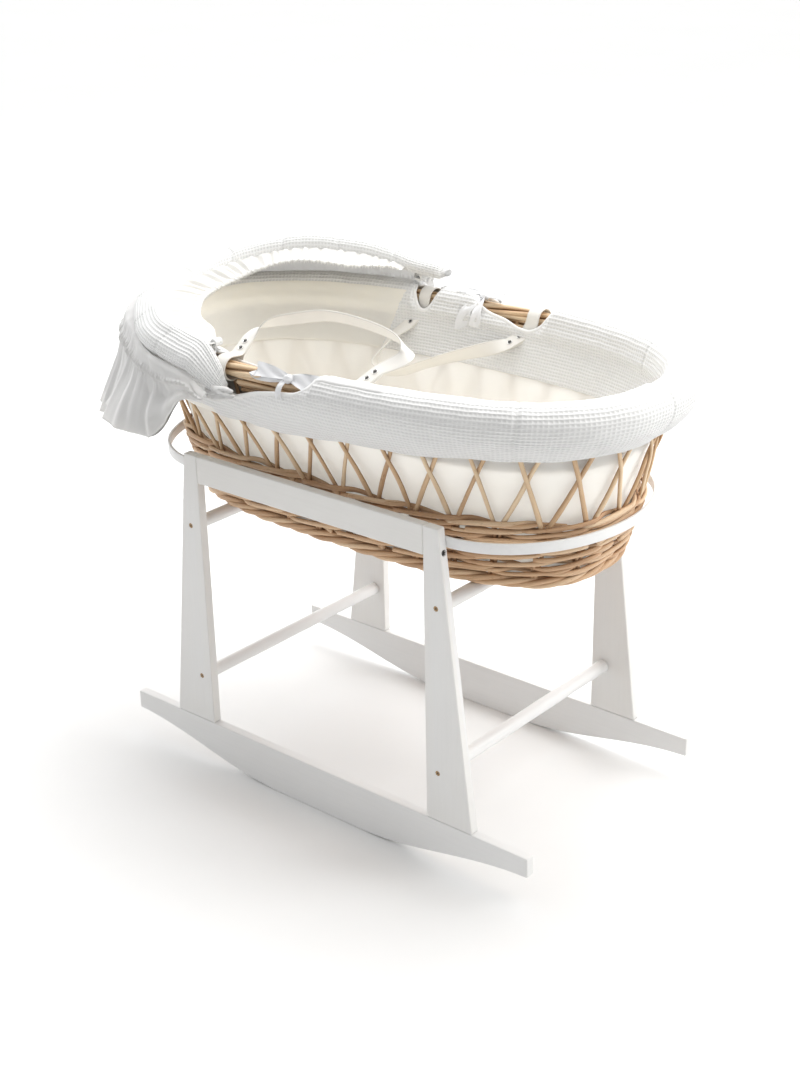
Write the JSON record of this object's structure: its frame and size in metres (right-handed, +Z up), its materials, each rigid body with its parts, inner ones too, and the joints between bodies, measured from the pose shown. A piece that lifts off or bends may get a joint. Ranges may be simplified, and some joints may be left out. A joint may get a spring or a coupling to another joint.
{
  "type": "baby cradle",
  "caption": "Baby cradle: an oval willow basket with a padded fabric cover, carrying straps and a folding fabric hood, standing on a white wooden rocking stand.",
  "frame": {"origin": "on the floor under the middle of the whole object's box, the stand's middle being 29 mm towards the foot end", "axes": "+Z up, +X from the head end with the hood towards the foot end, +Y across to the far side"},
  "size_m": [0.966, 0.5788, 0.7652],
  "materials": {
    "white_wood": "satin white paint",
    "birch": "plain turned birch",
    "brass_screws": "slightly dull, cross recess",
    "steel_screws": "blackened",
    "willow": "peeled willow, matt",
    "plain_cotton": "plain weave cotton, cream white",
    "waffle_cotton": "padded waffle weave cotton, white",
    "mattress_cover": "plain cotton, quilted edge",
    "ribbon": "woven cotton tape",
    "leatherette": "smooth ivory coated strap",
    "nickel": "polished nickel",
    "hoop_wire": "drawn wire",
    "white_plastic": "moulded"
  },
  "bodies": {
    "stand": {"near_rocker": "white_wood", "far_rocker": "white_wood", "near_top_rail": "white_wood", "far_top_rail": "white_wood", "near_head_leg": "white_wood", "near_head_upper_screw": "brass_screws", "near_head_lower_screw": "brass_screws", "near_head_rail_screw": "steel_screws", "near_head_leg_pin": "birch", "near_head_band_screw": "brass_screws", "near_foot_leg": "white_wood", "near_foot_upper_screw": "brass_screws", "near_foot_lower_screw": "brass_screws", "near_foot_rail_screw": "steel_screws", "near_foot_leg_pin": "birch", "near_foot_band_screw": "brass_screws", "far_head_leg": "white_wood", "far_head_upper_screw": "brass_screws", "far_head_lower_screw": "brass_screws", "far_head_rail_screw": "steel_screws", "far_head_leg_pin": "birch", "far_head_band_screw": "brass_screws", "far_foot_leg": "white_wood", "far_foot_upper_screw": "brass_screws", "far_foot_lower_screw": "brass_screws", "far_foot_rail_screw": "steel_screws", "far_foot_leg_pin": "birch", "far_foot_band_screw": "brass_screws", "head_upper_dowel": "white_wood", "head_lower_dowel": "white_wood", "head_end_band": "white_wood", "foot_upper_dowel": "white_wood", "foot_lower_dowel": "white_wood", "foot_end_band": "white_wood"},
    "basket": {"wicker_base": "willow", "woven_side_band": "willow", "side_lattice": "willow", "top_border": "willow", "lining": "plain_cotton", "padded_skirt": "waffle_cotton", "near_tie": "ribbon", "far_tie": "ribbon", "near_hood_pivot": "white_plastic", "far_hood_pivot": "white_plastic"},
    "mattress": {"mattress": "mattress_cover"},
    "near_strap": {"near_handle": "leatherette", "near_head_rivet_1": "nickel", "near_head_rivet_2": "nickel", "near_foot_rivet_1": "nickel", "near_foot_rivet_2": "nickel"},
    "far_strap": {"far_handle": "leatherette", "far_head_rivet_1": "nickel", "far_head_rivet_2": "nickel", "far_foot_rivet_1": "nickel", "far_foot_rivet_2": "nickel"},
    "hood": {"hood_trim": "waffle_cotton", "hood_hoop": "hoop_wire", "hood_frill": "plain_cotton", "hood_shell": "plain_cotton"}
  },
  "joints": [
    {"name": "basket_lift", "type": "slide", "parent": "stand", "child": "basket", "axis": [0, 0, 1], "range_m": [0, 0.2]},
    {"name": "mattress_lift", "type": "slide", "parent": "basket", "child": "mattress", "axis": [0, 0, 1], "range_m": [0, 0.09]},
    {"name": "near_strap_swing", "type": "hinge", "parent": "basket", "child": "near_strap", "pos_m": [0, -0.22628, 0.676], "axis": [1, 0, 0], "range_deg": [0, 118]},
    {"name": "far_strap_swing", "type": "hinge", "parent": "basket", "child": "far_strap", "pos_m": [0, 0.22688, 0.676], "axis": [-1, 0, 0], "range_deg": [0, 80]},
    {"name": "hood_fold", "type": "hinge", "parent": "basket", "child": "hood", "pos_m": [-0.113, 0, 0.7075], "axis": [0, 1, 0], "range_deg": [0, 90]}
  ]
}
